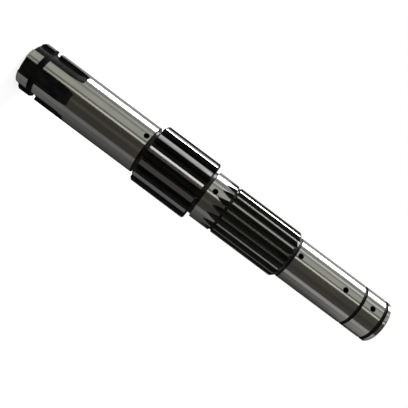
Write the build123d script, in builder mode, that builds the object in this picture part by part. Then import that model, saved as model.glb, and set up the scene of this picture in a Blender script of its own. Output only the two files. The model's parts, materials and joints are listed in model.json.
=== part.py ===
from build123d import *
from math import acos, asin, cos, hypot, pi, radians, sin, sqrt, tan
import os

# Pinion shaft, made from one steel bar: turned, milled, hobbed, drilled, hardened and ground.
# It stands on its six-spline end. The axis is +Z and z = 0 is that end's face.
# The oil holes are drilled from the -Y side, and every turn below is counted from there,
# in degrees, anticlockwise seen from above. Lengths are in millimetres.

# Ground diameters
seat_dia = 35.0  # rear bearing seat, neck and the outside of both splines
small_seat_dia = 30.0  # front bearing seat, pilot and end collar

# Lengths along the axis, from the foot up
rear_length = 92.5
rear_relief_width = 2.9
face_width = 42.7
neck_relief_width = 2.3
neck_length = 15.3
wire_groove_width = 2.2
front_spline_length = 50.2
small_relief_width = 1.4
small_seat_length = 50.2
seal_groove_width = 2.3
pilot_length = 13.7
end_groove_width = 2.4
collar_length = 2.8

# Rear spline: straight-sided lands, cut by a disc cutter that leaves on an arc
land_count = 6
land_width = 7.0
rear_floor_dia = 30.0
rear_floor_corner = 0.5
rear_spline_length = 27.8  # at full depth
rear_cutter_dia = 45.0
rear_spline_turn = 2.5
lock_groove_bottom = 9.2
lock_groove_width = 4.4
washer_clearance = 0.2  # by which the lock groove is deeper than the spline floor

# Pinion: involute stub teeth
pinion_teeth = 13
pinion_module = 3.0
pinion_pressure_angle = 20.0
pinion_tooth_thickness = 5.0  # at the pitch circle
pinion_addendum = 2.1
pinion_tooth_height = 5.4
pinion_root_corner = 0.9
tooth_end_chamfer = 1.1
root_clearance = 0.15  # by which the reliefs are deeper than the tooth roots

# Front spline: involute teeth, hobbed, with run-outs that end in points on the neck
front_teeth = 19
front_module = 1.75
front_pressure_angle = 45.0
front_tooth_thickness = 2.9  # at the pitch circle
front_root_dia = 31.2
front_root_corner = 0.5
hob_dia = 50.0
front_chamfer = 2.7

# Turned grooves and chamfers
wire_groove_depth = 1.1
wire_groove_corner = 0.7
small_relief_depth = 0.45
seal_groove_depth = 1.0
end_groove_depth = 0.9
relief_corner = 0.5
foot_chamfer = 1.5
collar_chamfer = 1.0

# Oil holes: how far each one lies from the edge it is measured from, and its turn
oil_hole_dia = 3.8
rear_hole_inset = 2.7  # below the rear relief
rear_hole_turn = -4.5
neck_hole_inset = 4.6  # above the neck relief
neck_hole_turn = 3.0
small_hole_inset = 2.9  # above the small relief
small_hole_turn = 1.0
middle_hole_inset = 12.0  # below the seal groove
middle_hole_turn = 1.5
pilot_hole_inset = 6.5  # above the seal groove
pilot_hole_turn = -1.5

# Oil gallery, drilled down from the collar, and the centres that the shaft is ground on
gallery_dia = 5.0
gallery_past_hole = 6.0
drill_point_angle = 118.0
centre_angle = 60.0
front_centre_dia = 11.0
foot_centre_dia = 9.0
foot_pilot_dia = 4.0
foot_pilot_depth = 9.0

# Heights that follow from the lengths
rear_relief_bottom = rear_length
pinion_bottom = rear_relief_bottom + rear_relief_width
pinion_top = pinion_bottom + face_width
neck_bottom = pinion_top + neck_relief_width
wire_groove_bottom = neck_bottom + neck_length
front_spline_bottom = wire_groove_bottom + wire_groove_width
front_spline_top = front_spline_bottom + front_spline_length
small_seat_bottom = front_spline_top + small_relief_width
seal_groove_bottom = small_seat_bottom + small_seat_length
pilot_bottom = seal_groove_bottom + seal_groove_width
end_groove_bottom = pilot_bottom + pilot_length
collar_bottom = end_groove_bottom + end_groove_width
overall_length = collar_bottom + collar_length

# Diameters that follow from the teeth
pinion_pitch_dia = pinion_teeth * pinion_module
pinion_tip_dia = pinion_pitch_dia + 2 * pinion_addendum
pinion_root_dia = pinion_tip_dia - 2 * pinion_tooth_height
relief_floor_dia = pinion_root_dia - 2 * root_clearance
lock_groove_floor_dia = rear_floor_dia - 2 * washer_clearance

overcut = 1.0  # how far a cut runs on past the metal that it leaves
towards_holes = -90.0  # from +X to the -Y side


def involute(angle):
    """Angle from an involute's start on its base circle to the point of this pressure angle."""
    return tan(angle) - angle


def polar(radius, angle):
    return (radius * cos(angle), radius * sin(angle))


def involute_flank(teeth, pitch_dia, pressure_angle, thickness, start_radius, end_radius):
    """Three points of one side of the space between two teeth, the space centred on +X."""
    pressure = radians(pressure_angle)
    base_radius = pitch_dia / 2 * cos(pressure)

    def flank_point(radius):
        tooth_half_angle = (
            thickness / pitch_dia + involute(pressure) - involute(acos(base_radius / radius))
        )
        return polar(radius, pi / teeth - tooth_half_angle)

    middle_radius = (start_radius + end_radius) / 2
    return [flank_point(radius) for radius in (start_radius, middle_radius, end_radius)]


def straight_flank(lands, width, start_radius, end_radius):
    """The ends of one land's side, which is parallel to the middle of the land."""
    return [
        polar(radius, pi / lands - asin(width / 2 / radius))
        for radius in (start_radius, end_radius)
    ]


def space_section(flank, floor_radius, floor_half_width):
    """A space from one flank's points, inner end first, a straight run-in and the floor."""
    floor_end = (sqrt(floor_radius**2 - floor_half_width**2), floor_half_width)
    with BuildSketch() as section:
        with BuildLine():
            Line(floor_end, flank[0])
            if len(flank) == 2:
                Line(*flank)
            else:
                ThreePointArc(*flank)
            mirror(about=Plane.XZ)
            for x, y in (floor_end, flank[-1]):
                ThreePointArc((x, y), (hypot(x, y), 0), (x, -y))
        make_face()
    return section.sketch


def milled_space(section, root_dia, cutter_dia, full_depth_end, open_end):
    """The cut of a round cutter: a channel, and the arc on which the cutter leaves the metal."""
    leaving = 1 if full_depth_end > open_end else -1
    cutter_axis = Axis(((root_dia + cutter_dia) / 2, 0, full_depth_end), (0, leaving, 0))
    with BuildPart() as cut:
        with BuildSketch(Plane.XY.offset(min(full_depth_end, open_end))):
            add(section)
        extrude(amount=abs(full_depth_end - open_end))
        with BuildSketch(Plane.XY.offset(full_depth_end)):
            add(section)
        revolve(axis=cutter_axis, revolution_arc=90)
    return cut.part


def groove_section(bottom, width, floor_dia, outer_dia):
    """Half section of a square turned groove, which is open outwards."""
    reach = (outer_dia - floor_dia) / 2 + overcut
    with BuildSketch(Plane.XZ) as groove:
        with Locations((floor_dia / 2 + reach / 2, bottom + width / 2)):
            Rectangle(reach, width)
    return groove.sketch


def cone_height(base_dia, top_dia, angle):
    """Height of a cone between two diameters, from the angle across it."""
    return (base_dia - top_dia) / 2 / tan(radians(angle / 2))


with BuildPart() as pinion_shaft:
    # Turned blank, up to the full diameter of each toothed part
    with BuildSketch(Plane.XZ):
        with BuildLine():
            Polyline(
                (0, 0),
                (seat_dia / 2 - foot_chamfer, 0),
                (seat_dia / 2, foot_chamfer),
                (seat_dia / 2, pinion_bottom),
                (pinion_tip_dia / 2 - tooth_end_chamfer, pinion_bottom),
                (pinion_tip_dia / 2, pinion_bottom + tooth_end_chamfer),
                (pinion_tip_dia / 2, pinion_top - tooth_end_chamfer),
                (pinion_tip_dia / 2 - tooth_end_chamfer, pinion_top),
                (seat_dia / 2, pinion_top),
                (seat_dia / 2, front_spline_top - front_chamfer),
                (small_seat_dia / 2, front_spline_top),
                (small_seat_dia / 2, overall_length - collar_chamfer),
                (small_seat_dia / 2 - collar_chamfer, overall_length),
                (0, overall_length),
                close=True,
            )
        make_face()
    revolve(axis=Axis.Z)

    # Reliefs at both ends of the pinion, where its cutter comes clear of the teeth.
    # Each one is sloped where its floor meets the seat
    for bottom, width, seat_side in (
        (rear_relief_bottom, rear_relief_width, 0),
        (pinion_top, neck_relief_width, -1),
    ):
        with BuildSketch(Plane.XZ) as relief:
            add(groove_section(bottom, width, relief_floor_dia, seat_dia))
            floor_ends = relief.vertices().group_by(Axis.X)[0].sort_by(Axis.Y)
            chamfer(floor_ends[seat_side], relief_corner)
        revolve(axis=Axis.Z, mode=Mode.SUBTRACT)

    # Relief under the front spline, and the two ring grooves of the small end
    for bottom, width, depth in (
        (front_spline_top, small_relief_width, small_relief_depth),
        (seal_groove_bottom, seal_groove_width, seal_groove_depth),
        (end_groove_bottom, end_groove_width, end_groove_depth),
    ):
        floor_dia = small_seat_dia - 2 * depth
        ring = groove_section(bottom, width, floor_dia, small_seat_dia)
        revolve(ring, axis=Axis.Z, mode=Mode.SUBTRACT)

    # Groove for a wire ring, where the front spline starts, sloped at both sides of its floor
    wire_groove_floor_dia = seat_dia - 2 * wire_groove_depth
    with BuildSketch(Plane.XZ) as wire_groove:
        add(groove_section(wire_groove_bottom, wire_groove_width, wire_groove_floor_dia, seat_dia))
        chamfer(wire_groove.vertices().group_by(Axis.X)[0], wire_groove_corner)
    revolve(axis=Axis.Z, mode=Mode.SUBTRACT)

    # Groove across the rear lands, in which a splined lock washer turns
    lock_groove = groove_section(
        lock_groove_bottom, lock_groove_width, lock_groove_floor_dia, seat_dia
    )
    revolve(lock_groove, axis=Axis.Z, mode=Mode.SUBTRACT)

    # Spaces between the six rear lands
    rear_floor_radius = rear_floor_dia / 2
    land_side = straight_flank(
        land_count, land_width, rear_floor_radius + rear_floor_corner, seat_dia / 2 + overcut
    )
    rear_space = milled_space(
        space_section(land_side, rear_floor_radius, land_side[0][1] - rear_floor_corner),
        rear_floor_dia,
        rear_cutter_dia,
        full_depth_end=rear_spline_length,
        open_end=-overcut,
    )
    with PolarLocations(0, land_count, towards_holes + rear_spline_turn + 180 / land_count):
        add(rear_space, mode=Mode.SUBTRACT)

    # Spaces of the pinion, radial inside the base circle. One is on the side of the oil holes
    pinion_base_radius = pinion_pitch_dia / 2 * cos(radians(pinion_pressure_angle))
    pinion_flank = involute_flank(
        pinion_teeth,
        pinion_pitch_dia,
        pinion_pressure_angle,
        pinion_tooth_thickness,
        pinion_base_radius,
        pinion_tip_dia / 2 + overcut,
    )
    pinion_root_radius = pinion_root_dia / 2
    pinion_floor_half_width = pinion_flank[0][1] * pinion_root_radius / pinion_base_radius
    with BuildSketch(Plane.XY.offset(pinion_bottom - rear_relief_width / 2)) as pinion_spaces:
        with PolarLocations(0, pinion_teeth, towards_holes):
            add(space_section(pinion_flank, pinion_root_radius, pinion_floor_half_width))
        root_corners = pinion_spaces.vertices().group_by(
            lambda corner: round((corner.X**2 + corner.Y**2) ** 0.5, 3)
        )
        fillet(root_corners[0], pinion_root_corner)
    extrude(
        amount=face_width + (rear_relief_width + neck_relief_width) / 2, mode=Mode.SUBTRACT
    )

    # Spaces of the front spline, run out on the neck. A tooth is on the side of the oil holes
    front_root_radius = front_root_dia / 2
    front_flank = involute_flank(
        front_teeth,
        front_teeth * front_module,
        front_pressure_angle,
        front_tooth_thickness,
        front_root_radius + front_root_corner,
        seat_dia / 2 + overcut,
    )
    front_space = milled_space(
        space_section(
            front_flank, front_root_radius, front_flank[0][1] - front_root_corner
        ),
        front_root_dia,
        hob_dia,
        full_depth_end=front_spline_bottom,
        open_end=front_spline_top,
    )
    with PolarLocations(0, front_teeth, towards_holes + 180 / front_teeth):
        add(front_space, mode=Mode.SUBTRACT)

    # Oil gallery with the front centre at its mouth, blind past the rear oil hole
    rear_hole_height = rear_relief_bottom - rear_hole_inset
    gallery_end = rear_hole_height - gallery_past_hole
    mouth_depth = cone_height(front_centre_dia, gallery_dia, centre_angle)
    point_depth = cone_height(gallery_dia, 0, drill_point_angle)
    with BuildSketch(Plane.XZ):
        with BuildLine():
            Polyline(
                (0, overall_length),
                (front_centre_dia / 2, overall_length),
                (gallery_dia / 2, overall_length - mouth_depth),
                (gallery_dia / 2, gallery_end),
                (0, gallery_end - point_depth),
                close=True,
            )
        make_face()
    revolve(axis=Axis.Z, mode=Mode.SUBTRACT)

    # Centre in the foot
    foot_cone_height = cone_height(foot_centre_dia, foot_pilot_dia, centre_angle)
    with BuildSketch(Plane.XZ):
        with BuildLine():
            Polyline(
                (0, 0),
                (foot_centre_dia / 2, 0),
                (foot_pilot_dia / 2, foot_cone_height),
                (foot_pilot_dia / 2, foot_pilot_depth),
                (0, foot_pilot_depth),
                close=True,
            )
        make_face()
    revolve(axis=Axis.Z, mode=Mode.SUBTRACT)

    # Oil holes, from each seat in to the gallery
    for height, turn, seat_radius in (
        (rear_hole_height, rear_hole_turn, seat_dia / 2),
        (neck_bottom + neck_hole_inset, neck_hole_turn, seat_dia / 2),
        (small_seat_bottom + small_hole_inset, small_hole_turn, small_seat_dia / 2),
        (seal_groove_bottom - middle_hole_inset, middle_hole_turn, small_seat_dia / 2),
        (pilot_bottom + pilot_hole_inset, pilot_hole_turn, small_seat_dia / 2),
    ):
        angle = radians(towards_holes + turn)
        with BuildSketch(Plane((0, 0, height), z_dir=(cos(angle), sin(angle), 0))):
            Circle(oil_hole_dia / 2)
        extrude(amount=seat_radius + overcut, mode=Mode.SUBTRACT)

pinion_shaft.part.label = "pinion_shaft"

os.makedirs("parts", exist_ok=True)
export_step(pinion_shaft.part, "parts/pinion_shaft.step")
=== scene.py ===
import json
from math import cos, pi, radians, sin, tan

import bpy
from mathutils import Matrix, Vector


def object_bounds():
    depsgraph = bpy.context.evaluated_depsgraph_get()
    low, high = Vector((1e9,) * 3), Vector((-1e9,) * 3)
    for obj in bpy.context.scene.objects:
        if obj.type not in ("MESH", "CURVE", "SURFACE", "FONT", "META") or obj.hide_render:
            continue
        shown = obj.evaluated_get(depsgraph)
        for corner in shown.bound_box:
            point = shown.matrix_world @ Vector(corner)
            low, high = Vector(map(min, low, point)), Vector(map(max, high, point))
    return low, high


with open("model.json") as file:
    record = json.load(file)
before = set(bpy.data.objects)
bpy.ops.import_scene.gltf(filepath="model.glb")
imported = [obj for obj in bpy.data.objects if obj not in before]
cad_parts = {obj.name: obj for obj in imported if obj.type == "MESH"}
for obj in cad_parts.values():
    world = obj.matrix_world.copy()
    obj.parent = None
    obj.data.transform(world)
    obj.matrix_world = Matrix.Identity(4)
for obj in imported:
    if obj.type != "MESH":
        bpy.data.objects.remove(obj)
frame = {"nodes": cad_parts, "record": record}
cad_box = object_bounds()
bpy.context.scene.view_settings.view_transform = "Standard"
shaft = frame["nodes"]["pinion_shaft"]
mounts = {mount["name"]: mount for mount in frame["record"]["mounts"]}

# Lengths are in metres and angles in degrees. Heights are counted from the foot, on which the
# shaft stands. A turn is counted round the shaft from the camera's side, towards the upper side
# of the picture
VIEW_AZIMUTH = 20.5  # of the camera's side, from -Y, where the oil holes open, towards +X

SEAT_RADIUS = mounts["rear_seat"]["dims"]["r_mm"] / 1000
SMALL_SEAT_RADIUS = mounts["small_seat"]["dims"]["r_mm"] / 1000
PINION_TIP_RADIUS = 0.0216
RADIUS_TOLERANCE = 0.000003  # a corner this close to a cylinder is on it
WELD_DISTANCE = 0.0000002  # corners this close are one
SHARP_ANGLE = 20  # an edge that turns by more is sharp

# Where each stretch starts and ends along the shaft
SHAFT_TOP = cad_box[1][2]
REAR_RELIEF = (0.0925, 0.0954)
NECK_RELIEF = (0.1381, 0.1404)
WIRE_GROOVE = (0.1557, 0.1579)
FRONT_SPLINE = (0.1579, 0.2081)
SPLINE_CHAMFER = (0.2054, 0.2081)
SMALL_STEP = 0.2  # the small seat lies above it, and every other cylinder of its radius below

# Limits round the small turned faces, each with a little room
FOOT_CHAMFER_HEIGHT = 0.0016
COLLAR_CHAMFER_HEIGHT = 0.0011
FOOT_CENTRE_RADIUS, FOOT_CENTRE_DEPTH = 0.0046, 0.0040
TOP_CENTRE_RADIUS, TOP_CENTRE_DEPTH = 0.0056, 0.0081
GROOVE_FLOOR_RADIUS = 0.0160  # the floors of the three wide grooves lie further out
MILLED_HEIGHT = 0.045  # the rear spline's run-outs end below it

# How much of a face's normal, which is 1 long, points that way
STRAIGHT_OUT = 0.95  # away from the axis
OUTSIDE = 0.2  # away from the axis
SLOPED = (0.3, 0.95)  # up or down
UPWARDS = 0.5  # up
ALL_CORNERS = 0.99  # the share of a face's corners that passes for all of them


def add_node(tree, kind, **settings):
    node = tree.nodes.new(kind)
    for name, value in settings.items():
        setattr(node, name, value)
    return node


def new_material(name):
    material = bpy.data.materials.new(name)
    material.use_nodes = True
    tree = material.node_tree
    return material, tree, tree.nodes["Principled BSDF"]


def stretched_noise(tree, across, along):
    """Noise in the object's own space: cycles per metre across the axis and along it."""
    place = add_node(tree, "ShaderNodeTexCoord")
    scale = add_node(tree, "ShaderNodeVectorMath", operation="MULTIPLY")
    scale.inputs[1].default_value = (across, across, along)
    noise = add_node(tree, "ShaderNodeTexNoise")
    noise.inputs["Scale"].default_value = 1.0
    noise.inputs["Detail"].default_value = 3.0
    tree.links.new(place.outputs["Object"], scale.inputs[0])
    tree.links.new(scale.outputs["Vector"], noise.inputs["Vector"])
    return noise.outputs["Fac"]


# The values that most of the noise lies between, and the narrower band in which colours change
NOISE_RANGE = (0.3, 0.7)
COLOUR_BAND = (0.35, 0.65)


def ranged(tree, noise, low, high):
    """The noise, stretched from its usual range to one between low and high."""
    node = add_node(tree, "ShaderNodeMapRange")
    node.inputs["From Min"].default_value, node.inputs["From Max"].default_value = NOISE_RANGE
    node.inputs["To Min"].default_value = low
    node.inputs["To Max"].default_value = high
    tree.links.new(noise, node.inputs["Value"])
    return node.outputs["Result"]


def two_tone(tree, noise, first, second):
    """A colour that runs from the first to the second as the noise rises."""
    ramp = add_node(tree, "ShaderNodeValToRGB")
    for stop, position, colour in zip(ramp.color_ramp.elements, COLOUR_BAND, (first, second)):
        stop.position = position
        stop.color = (*colour, 1)
    tree.links.new(noise, ramp.inputs["Fac"])
    return ramp.outputs["Color"]


def warm_grey(level):
    """A grey with a little less blue."""
    return (level, level, 0.97 * level)


def ground_steel(name, smooth, rough, anisotropy):
    """Cylinder-ground steel: fine marks run round it, so a reflection is drawn out along the axis."""
    material, tree, shader = new_material(name)
    marks = stretched_noise(tree, across=30, along=2600)
    patches = stretched_noise(tree, across=120, along=60)
    colour = two_tone(tree, patches, (0.62, 0.62, 0.60), (0.68, 0.68, 0.65))
    tree.links.new(colour, shader.inputs["Base Color"])
    tree.links.new(ranged(tree, marks, smooth, rough), shader.inputs["Roughness"])
    shader.inputs["Metallic"].default_value = 1.0
    shader.inputs["Anisotropic"].default_value = anisotropy
    shader.inputs["Anisotropic Rotation"].default_value = 0.25
    tangent = add_node(tree, "ShaderNodeTangent", direction_type="RADIAL", axis="Z")
    tree.links.new(tangent.outputs["Tangent"], shader.inputs["Tangent"])
    return material


def turned_steel(name, dark, light):
    """A turned face with rings from the tool's feed, between two levels of grey."""
    material, tree, shader = new_material(name)
    rings = stretched_noise(tree, across=30, along=5000)
    colour = two_tone(tree, rings, warm_grey(dark), warm_grey(light))
    tree.links.new(colour, shader.inputs["Base Color"])
    shader.inputs["Roughness"].default_value = 0.28
    shader.inputs["Metallic"].default_value = 1.0
    return material


def black_steel(name, sheen):
    """Everything that isn't ground after hardening: a thin black scale with a slight sheen."""
    material, tree, shader = new_material(name)
    blotches = stretched_noise(tree, across=260, along=140)
    cutter_marks = stretched_noise(tree, across=2200, along=60)
    colour = two_tone(tree, blotches, (0.006, 0.006, 0.006), (0.013, 0.013, 0.012))
    tree.links.new(colour, shader.inputs["Base Color"])
    tree.links.new(ranged(tree, cutter_marks, 0.42, 0.56), shader.inputs["Roughness"])
    shader.inputs["Specular IOR Level"].default_value = sheen
    bump = add_node(tree, "ShaderNodeBump")
    bump.inputs["Strength"].default_value = 0.2
    bump.inputs["Distance"].default_value = 0.00002
    tree.links.new(cutter_marks, bump.inputs["Height"])
    tree.links.new(bump.outputs["Normal"], shader.inputs["Normal"])
    return material


def groove_steel():
    """The floors of the turned grooves: the same black scale, but smooth enough to mirror a lamp."""
    material, tree, shader = new_material("groove_steel")
    rings = stretched_noise(tree, across=30, along=4000)
    colour = two_tone(tree, rings, (0.003, 0.003, 0.003), (0.006, 0.006, 0.006))
    tree.links.new(colour, shader.inputs["Base Color"])
    tree.links.new(ranged(tree, rings, 0.20, 0.30), shader.inputs["Roughness"])
    shader.inputs["Specular IOR Level"].default_value = 0.5
    return material


def polished_tips():
    """The tips of the pinion's teeth, ground and then rubbed bright by the mating gear's roots."""
    material, tree, shader = new_material("tip_steel")
    patches = stretched_noise(tree, across=300, along=90)
    colour = two_tone(tree, patches, (0.84, 0.82, 0.86), (0.92, 0.90, 0.94))
    tree.links.new(colour, shader.inputs["Base Color"])
    tree.links.new(ranged(tree, patches, 0.08, 0.12), shader.inputs["Roughness"])
    shader.inputs["Metallic"].default_value = 1.0
    return material


GROUND = ground_steel("ground_steel", smooth=0.14, rough=0.19, anisotropy=0.8)
SPLINE_TIPS = ground_steel("spline_tip_steel", smooth=0.26, rough=0.34, anisotropy=0.6)
TIPS = polished_tips()
TURNED = turned_steel("turned_steel", dark=0.50, light=0.62)
DARK_TURNED = turned_steel("dark_turned_steel", dark=0.17, light=0.26)
GROOVES = groove_steel()
BLACK = black_steel("black_steel", sheen=0.22)
MILLED = black_steel("milled_black_steel", sheen=0.10)
shaft.material_slots[0].material = GROUND


class Fields:
    """Short ways to build the sums of a geometry node group."""

    def __init__(self, group):
        self.group = group

    def node(self, kind, *inputs, **settings):
        node = add_node(self.group, kind, **settings)
        for socket, value in inputs:
            if isinstance(value, bpy.types.NodeSocket):
                self.group.links.new(value, node.inputs[socket])
            else:
                node.inputs[socket].default_value = value
        return node

    def math(self, operation, first, second=0.0):
        return self.node(
            "ShaderNodeMath", (0, first), (1, second), operation=operation
        ).outputs[0]

    def vector(self, operation, first, second=(0, 0, 0)):
        node = self.node(
            "ShaderNodeVectorMath", (0, first), (1, second), operation=operation
        )
        return node.outputs["Value" if operation in ("DOT_PRODUCT", "LENGTH") else "Vector"]

    def above(self, value, limit):
        return self.math("GREATER_THAN", value, limit)

    def below(self, value, limit):
        return self.math("LESS_THAN", value, limit)

    def between(self, value, low, high):
        return self.all_of(self.above(value, low), self.below(value, high))

    def all_of(self, *values):
        result = values[0]
        for value in values[1:]:
            result = self.math("MULTIPLY", result, value)
        return result

    def any_of(self, *values):
        result = values[0]
        for value in values[1:]:
            result = self.math("MAXIMUM", result, value)
        return result

    def on_domain(self, value, domain):
        return self.node(
            "GeometryNodeFieldOnDomain", (0, value), domain=domain, data_type="FLOAT"
        ).outputs[0]


class ShaftSurface(Fields):
    """The place and direction of every face of a shaft that stands on the origin."""

    def __init__(self, group):
        super().__init__(group)
        place = self.node("GeometryNodeInputPosition").outputs[0]
        normals = self.node("GeometryNodeInputNormal").outputs
        self.corner_normal = normals["Normal"]
        self.height = self.node("ShaderNodeSeparateXYZ", (0, place)).outputs["Z"]
        outward = self.vector("MULTIPLY", place, (1, 1, 0))
        self.radius = self.vector("LENGTH", outward)
        self.radial = self.vector("NORMALIZE", outward)
        self.facing = self.vector("DOT_PRODUCT", normals["True Normal"], self.radial)
        self.tilt = self.node("ShaderNodeSeparateXYZ", (0, normals["True Normal"])).outputs["Z"]
        self.straight_out = self.above(self.facing, STRAIGHT_OUT)
        self.seats = self.on_cylinder(SEAT_RADIUS)
        self.tips = self.on_cylinder(PINION_TIP_RADIUS)
        self.small_seats = self.all_of(
            self.on_cylinder(SMALL_SEAT_RADIUS), self.above(self.height, SMALL_STEP)
        )

    def on_cylinder(self, wanted):
        """Faces whose corners all lie at this radius and that face straight out."""
        at_radius = self.between(self.radius, wanted - RADIUS_TOLERANCE, wanted + RADIUS_TOLERANCE)
        corners = self.on_domain(at_radius, "POINT")
        return self.all_of(self.straight_out, self.above(corners, ALL_CORNERS))

    def with_true_normals(self, mesh):
        """The mesh with sharp edges where surfaces meet, and its cylinders with truly round normals."""
        welded = self.node(
            "GeometryNodeMergeByDistance", ("Geometry", mesh), ("Distance", WELD_DISTANCE)
        )
        edge_angle = self.node("GeometryNodeInputMeshEdgeAngle").outputs["Unsigned Angle"]
        sharpened = self.node(
            "GeometryNodeSetMeshNormal",
            ("Mesh", welded.outputs[0]),
            ("Remove Custom", True),
            ("Edge Sharpness", self.above(edge_angle, radians(SHARP_ANGLE))),
            ("Face Sharpness", False),
            mode="SHARPNESS",
        )
        round_faces = self.on_domain(self.any_of(self.seats, self.tips, self.small_seats), "FACE")
        choice = self.node(
            "ShaderNodeMix", ("Factor", round_faces), data_type="VECTOR", factor_mode="UNIFORM"
        )
        otherwise, chosen = [i for i in choice.inputs if i.type == "VECTOR" and i.enabled][-2:]
        self.group.links.new(self.corner_normal, otherwise)
        self.group.links.new(self.radial, chosen)
        normal = [o for o in choice.outputs if o.type == "VECTOR" and o.enabled][0]
        return self.node(
            "GeometryNodeSetMeshNormal",
            ("Mesh", sharpened.outputs[0]),
            ("Custom Normal", normal),
            mode="FREE",
            domain="CORNER",
        ).outputs[0]

    def finishes(self):
        """Pairs of a selection and its finish. A later pair lies over the earlier ones."""
        ground = self.any_of(self.seats, self.small_seats)
        sloped = self.between(self.math("ABSOLUTE", self.tilt), *SLOPED)
        chamfers = self.all_of(sloped, self.above(self.facing, OUTSIDE))
        turned = self.any_of(
            self.all_of(chamfers, self.below(self.height, FOOT_CHAMFER_HEIGHT)),
            self.all_of(chamfers, self.above(self.height, SHAFT_TOP - COLLAR_CHAMFER_HEIGHT)),
            self.all_of(
                self.below(self.radius, TOP_CENTRE_RADIUS),
                self.above(self.height, SHAFT_TOP - TOP_CENTRE_DEPTH),
            ),
            self.all_of(
                sloped,
                self.below(self.radius, FOOT_CENTRE_RADIUS),
                self.below(self.height, FOOT_CENTRE_DEPTH),
            ),
        )
        in_grooves = [
            self.between(self.height, *groove) for groove in (REAR_RELIEF, NECK_RELIEF, WIRE_GROOVE)
        ]
        groove_floors = self.all_of(
            self.straight_out, self.above(self.radius, GROOVE_FLOOR_RADIUS), self.any_of(*in_grooves)
        )
        spline_chamfer = self.all_of(
            chamfers, self.between(self.height, *SPLINE_CHAMFER), self.above(self.tilt, UPWARDS)
        )
        spline_tips = self.all_of(ground, self.between(self.height, *FRONT_SPLINE))
        return (
            (True, BLACK),
            (self.below(self.height, MILLED_HEIGHT), MILLED),
            (groove_floors, GROOVES),
            (spline_chamfer, DARK_TURNED),
            (turned, TURNED),
            (self.tips, TIPS),
            (ground, GROUND),
            (spline_tips, SPLINE_TIPS),
        )


def finish_surfaces(target):
    """Gives each surface its finish by its shape and place, and the cylinders their true normals."""
    group = bpy.data.node_groups.new("surface_finish", "GeometryNodeTree")
    for in_out in ("INPUT", "OUTPUT"):
        group.interface.new_socket("Geometry", in_out=in_out, socket_type="NodeSocketGeometry")
    surface = ShaftSurface(group)
    geometry = surface.with_true_normals(surface.node("NodeGroupInput").outputs[0])
    for selection, material in surface.finishes():
        geometry = surface.node(
            "GeometryNodeSetMaterial",
            ("Geometry", geometry),
            ("Selection", selection),
            ("Material", material),
        ).outputs[0]
    group.links.new(geometry, surface.node("NodeGroupOutput").inputs[0])
    modifier = target.modifiers.new("surface_finish", "NODES")
    modifier.node_group = group


finish_surfaces(shaft)


def round_the_shaft(turn, distance, height):
    angle = radians(VIEW_AZIMUTH - 90 - turn)
    return (distance * cos(angle), distance * sin(angle), height)


# Camera: almost level, and rolled so that the foot is at the upper left of the picture
CAMERA_DISTANCE = 0.33763
CAMERA_HEIGHT = 0.14254
CAMERA_HEADING = 19.5718
CAMERA_TILT = 90.2406  # from straight down
CAMERA_ROLL = 126.8161
LENS_LENGTH, SENSOR_WIDTH = 45.49, 36  # in millimetres

camera_data = bpy.data.cameras.new("camera")
camera_data.lens = LENS_LENGTH
camera_data.sensor_width = SENSOR_WIDTH
camera_data.clip_start = 0.01
camera = bpy.data.objects.new("camera", camera_data)
bpy.context.scene.collection.objects.link(camera)
camera.location = round_the_shaft(0, CAMERA_DISTANCE, CAMERA_HEIGHT)
camera.rotation_euler = (
    Matrix.Rotation(radians(CAMERA_HEADING), 3, "Z")
    @ Matrix.Rotation(radians(CAMERA_TILT), 3, "X")
    @ Matrix.Rotation(radians(CAMERA_ROLL), 3, "Z")
).to_euler()
bpy.context.scene.camera = camera


def mirrored_white(tree, strength, plain, white):
    """One strength for the light on the object, another for what camera, mirrors and glass see."""
    path = add_node(tree, "ShaderNodeLightPath")
    seen = path.outputs["Is Camera Ray"]
    for name in ("Is Glossy Ray", "Is Transmission Ray"):
        more = add_node(tree, "ShaderNodeMath", operation="MAXIMUM")
        tree.links.new(seen, more.inputs[0])
        tree.links.new(path.outputs[name], more.inputs[1])
        seen = more.outputs[0]
    level = add_node(tree, "ShaderNodeMapRange")
    level.inputs["To Min"].default_value = plain
    level.inputs["To Max"].default_value = white
    tree.links.new(seen, level.inputs["Value"])
    tree.links.new(level.outputs["Result"], strength)


def square(reach, height):
    """The corners of a level square with its middle on the axis."""
    return [(reach * x, reach * y, height) for x, y in ((-1, -1), (1, -1), (1, 1), (-1, 1))]


def add_stage(name, points, faces, material):
    """Something that stands round the object and isn't part of it."""
    mesh = bpy.data.meshes.new(name)
    mesh.from_pydata(points, [], faces)
    mesh.materials.append(material)
    added = bpy.data.objects.new(name, mesh)
    bpy.context.scene.collection.objects.link(added)
    return added


# Backdrop: white to look at, and a plain soft light on the object
world = bpy.data.worlds.new("backdrop")
world.use_nodes = True
bpy.context.scene.world = world
sky = world.node_tree.nodes["Background"]
sky.inputs["Color"].default_value = (1, 1, 1, 1)
mirrored_white(world.node_tree, sky.inputs["Strength"], plain=0.4, white=1.0)

# Floor: pale, and lifted to white where nothing shades it. In the polish, a card takes its place
floor_material, floor_tree, floor_shader = new_material("floor")
floor_shader.inputs["Base Color"].default_value = (0.8, 0.8, 0.8, 1)
floor_shader.inputs["Roughness"].default_value = 0.9
floor_shader.inputs["Specular IOR Level"].default_value = 0.0
floor_shader.inputs["Emission Color"].default_value = (1, 1, 1, 1)
mirrored_white(floor_tree, floor_shader.inputs["Emission Strength"], plain=0.0, white=0.72)
floor_material.cycles.emission_sampling = "NONE"
floor = add_stage("floor", square(reach=4, height=0), [(0, 1, 2, 3)], floor_material)
floor.visible_glossy = False

# Cards: they stand round the shaft and show only in its polish
CARD_DISTANCE = 1.5
CARD_FACET = 3  # roughly the turn of one flat facet


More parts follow.
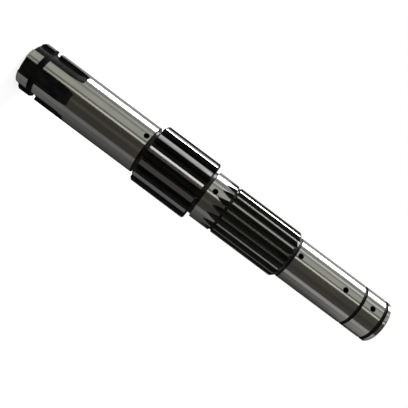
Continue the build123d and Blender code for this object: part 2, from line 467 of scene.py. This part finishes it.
def place_card(name, points, faces, colour):
    """A card of an even brightness, which is seen in reflections only."""
    material, _, shader = new_material(name)
    material.cycles.emission_sampling = "NONE"
    shader.inputs["Base Color"].default_value = (0, 0, 0, 1)
    shader.inputs["Specular IOR Level"].default_value = 0.0
    shader.inputs["Emission Color"].default_value = (*colour, 1)
    shader.inputs["Emission Strength"].default_value = 1.0
    placed = add_stage(name, points, faces, material)
    placed.visible_camera = False
    placed.visible_diffuse = False
    placed.visible_shadow = False


def card(name, start, end, colour, low, high, distance=CARD_DISTANCE):
    """A curved upright card, from one turn to another."""
    steps = max(2, int((end - start) / CARD_FACET))
    turns = [start + (end - start) * i / steps for i in range(steps + 1)]
    points = [round_the_shaft(turn, distance, z) for turn in turns for z in (low, high)]
    faces = [(2 * i, 2 * i + 2, 2 * i + 3, 2 * i + 1) for i in range(steps)]
    place_card(name, points, faces, colour)


def level_card(name, height, colour):
    """A level card over or under the shaft."""
    place_card(name, square(reach=2, height=height), [(0, 1, 2, 3)], colour)


# Where the light changes along the shaft, cards share a turn and divide the height between them.
# Each dividing height is named for the stretch of the shaft in which the camera sees it mirrored
BOTTOM, RUN_OUTS, PINION, MID_SPLINE, SEAT_END, TOP = -3.0, -0.5, 0.1, 0.35, 0.76, 3.0

# Rows: name, first and last turn, brightness in red, green and blue, lowest and highest point
for name, start, end, colour, low, high in (
    ("behind_top", 124, 180, (0.33, 0.33, 0.33), BOTTOM, TOP),
    ("line_1", 86, 95, (0.25, 0.25, 0.24), BOTTOM, TOP),
    ("line_2", 78, 86, (0.22, 0.22, 0.21), BOTTOM, TOP),
    ("foot_line_3", 69, 78, (0.46, 0.46, 0.43), BOTTOM, PINION),
    ("foot_line_4", 65, 69, (0.36, 0.36, 0.33), BOTTOM, PINION),
    ("foot_line_5", 58, 65, (0.24, 0.24, 0.22), BOTTOM, PINION),
    ("foot_line_6", 54, 58, (0.38, 0.38, 0.34), BOTTOM, PINION),
    ("tip_line_3", 72, 78, (0.33, 0.33, 0.31), PINION, TOP),
    ("tip_line_4", 66, 72, (0.84, 0.84, 0.80), PINION, TOP),
    ("tip_line_5", 61, 66, (0.42, 0.42, 0.38), PINION, TOP),
    ("tip_line_6", 54, 61, (0.25, 0.25, 0.23), PINION, TOP),
    ("grey", 30.5, 54, (0.41, 0.42, 0.37), BOTTOM, TOP),
    ("dark_line", 24, 30.5, (0.11, 0.11, 0.09), BOTTOM, TOP),
    ("gap", 22.5, 24, (0.30, 0.30, 0.27), BOTTOM, TOP),
    ("foot_bright_line", 15.5, 22.5, (0.22, 0.22, 0.20), BOTTOM, RUN_OUTS),
    ("bright_line", 15.5, 22.5, (0.80, 0.80, 0.72), RUN_OUTS, TOP),
    ("foot_dark_1", -11, 15.5, (0.052, 0.047, 0.039), BOTTOM, MID_SPLINE),
    ("foot_dark_2", -25, -11, (0.080, 0.073, 0.062), BOTTOM, MID_SPLINE),
    ("foot_dark_3", -60, -25, (0.050, 0.046, 0.040), BOTTOM, MID_SPLINE),
    ("tip_dark_1", -17, 15.5, (0.076, 0.069, 0.057), MID_SPLINE, TOP),
    ("tip_dark_2", -35, -17, (0.054, 0.050, 0.043), MID_SPLINE, TOP),
    ("tip_dark_3", -58, -35, (0.064, 0.060, 0.054), MID_SPLINE, TOP),
    ("foot_low_1", -80, -60, (0.17, 0.17, 0.17), BOTTOM, MID_SPLINE),
    ("tip_low_1", -77, -58, (0.36, 0.36, 0.35), MID_SPLINE, TOP),
    ("foot_low_2", -105, -80, (0.15, 0.15, 0.15), BOTTOM, RUN_OUTS),
    ("middle_low_2", -105, -80, (0.105, 0.105, 0.105), RUN_OUTS, MID_SPLINE),
    ("front_low_2", -105, -77, (0.125, 0.125, 0.125), MID_SPLINE, SEAT_END),
    ("tip_low_2", -105, -77, (0.29, 0.29, 0.29), SEAT_END, TOP),
    ("foot_low_3", -128, -105, (0.11, 0.11, 0.11), BOTTOM, RUN_OUTS),
    ("middle_low_3", -128, -105, (0.078, 0.078, 0.078), RUN_OUTS, SEAT_END),
    ("tip_low_3", -128, -105, (0.22, 0.22, 0.22), SEAT_END, TOP),
    ("behind_low", -180, -128, (0.05, 0.05, 0.05), BOTTOM, TOP),
):
    card(f"card_{name}", start, end, colour, low, high)

# A bright card high up behind, for the glint on the front spline's chamfer
card("card_high", 140, 152, (4.0, 4.0, 4.0), low=1.45, high=2.45, distance=1.45)

# Level cards: dark above the shaft, and grey below it in the floor's place
level_card("card_over", 2.9, (0.04, 0.04, 0.04))
level_card("card_under", -2.9, (0.35, 0.35, 0.35))

# Softbox: an upright strip of light, which the shaft mirrors as a white band along its upper side
SOFTBOX_TURN = 109.8
SOFTBOX_DISTANCE = 1.4
SOFTBOX_MIDDLE = 0.15
SOFTBOX_LENGTH = 3.0
SOFTBOX_HALF_ANGLE = 10.3  # as seen from the shaft
SOFTBOX_BRIGHTNESS = 9.0  # as seen in a mirror

softbox_data = bpy.data.lights.new("softbox", "AREA")
softbox_data.shape = "RECTANGLE"
softbox_data.size = 2 * SOFTBOX_DISTANCE * tan(radians(SOFTBOX_HALF_ANGLE))
softbox_data.size_y = SOFTBOX_LENGTH
softbox_data.energy = SOFTBOX_BRIGHTNESS * pi * softbox_data.size * softbox_data.size_y
softbox = bpy.data.objects.new("softbox", softbox_data)
bpy.context.scene.collection.objects.link(softbox)
softbox.location = round_the_shaft(SOFTBOX_TURN, SOFTBOX_DISTANCE, SOFTBOX_MIDDLE)
softbox.rotation_euler = (radians(90), 0, radians(VIEW_AZIMUTH - SOFTBOX_TURN))
